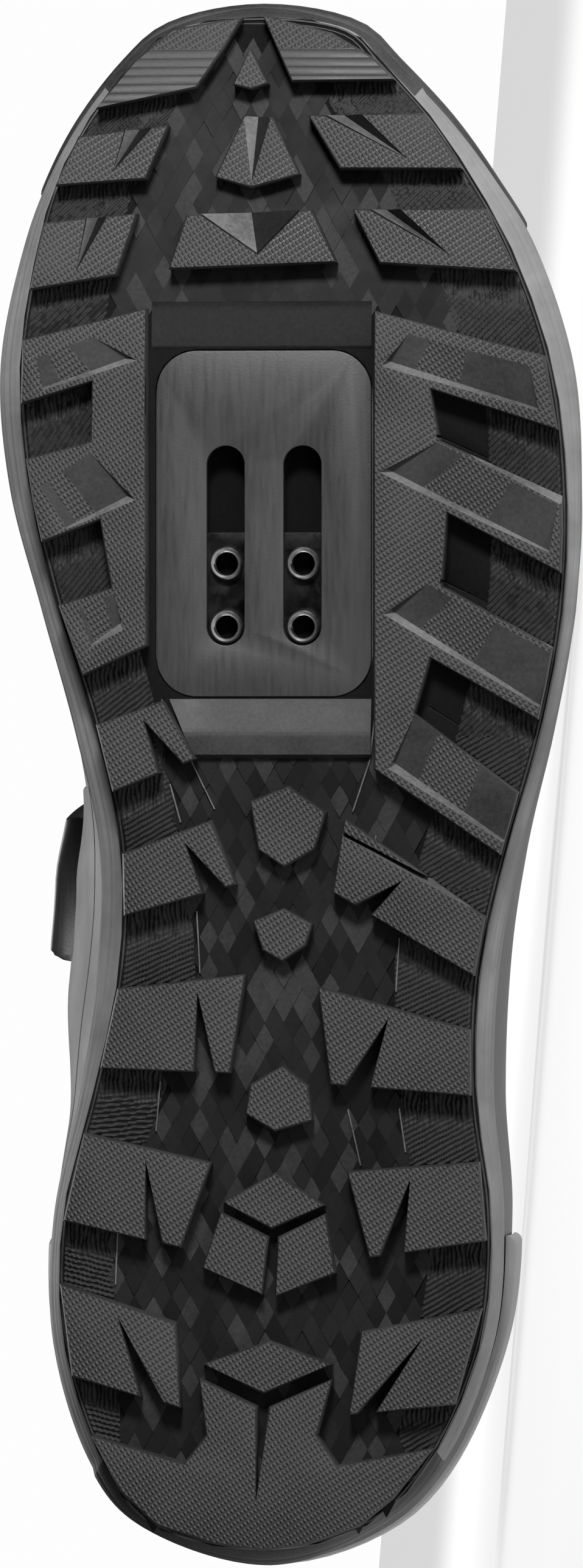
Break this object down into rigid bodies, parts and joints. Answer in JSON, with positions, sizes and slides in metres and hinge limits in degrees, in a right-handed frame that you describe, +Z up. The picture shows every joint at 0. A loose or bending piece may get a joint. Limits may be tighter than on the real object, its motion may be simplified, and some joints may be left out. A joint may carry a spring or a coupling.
{
  "type": "cycling shoe",
  "caption": "Left off-road cycling shoe lying on its lateral side, with a lugged tread, a slotted cleat plate and a sliding threaded plate behind it.",
  "frame": {"origin": "middle of the bounding box's bottom face, on the floor that the shoe lies on", "axes": "+X to the toe, +Y from the sole to the foot opening, +Z up from the lateral to the medial side"},
  "size_m": [0.2862, 0.117, 0.1081],
  "materials": {
    "rubber": "matt moulded rubber",
    "foam": "matt foam",
    "nylon": "satin plastic",
    "shell": "satin moulded cup",
    "steel": "zinc plated steel",
    "upper_fabric": "coated fabric",
    "lining": "knit lining",
    "webbing": "woven strap"
  },
  "bodies": {
    "shoe": {"outsole": "rubber", "cleat_plate": "nylon", "midsole": "foam", "insole": "lining", "upper": "upper_fabric", "toe_guard": "rubber", "heel_counter": "shell", "tongue": "upper_fabric", "strap_toe": "webbing", "strap_middle": "webbing", "strap_instep": "webbing", "strap_keeper": "nylon"},
    "nut_plate": {"nut_plate": "steel"}
  },
  "joints": [
    {"name": "nut_slide", "type": "slide", "parent": "shoe", "child": "nut_plate", "axis": [0.9967, 0, 0.0812], "range_m": [0, 0.0179]}
  ]
}
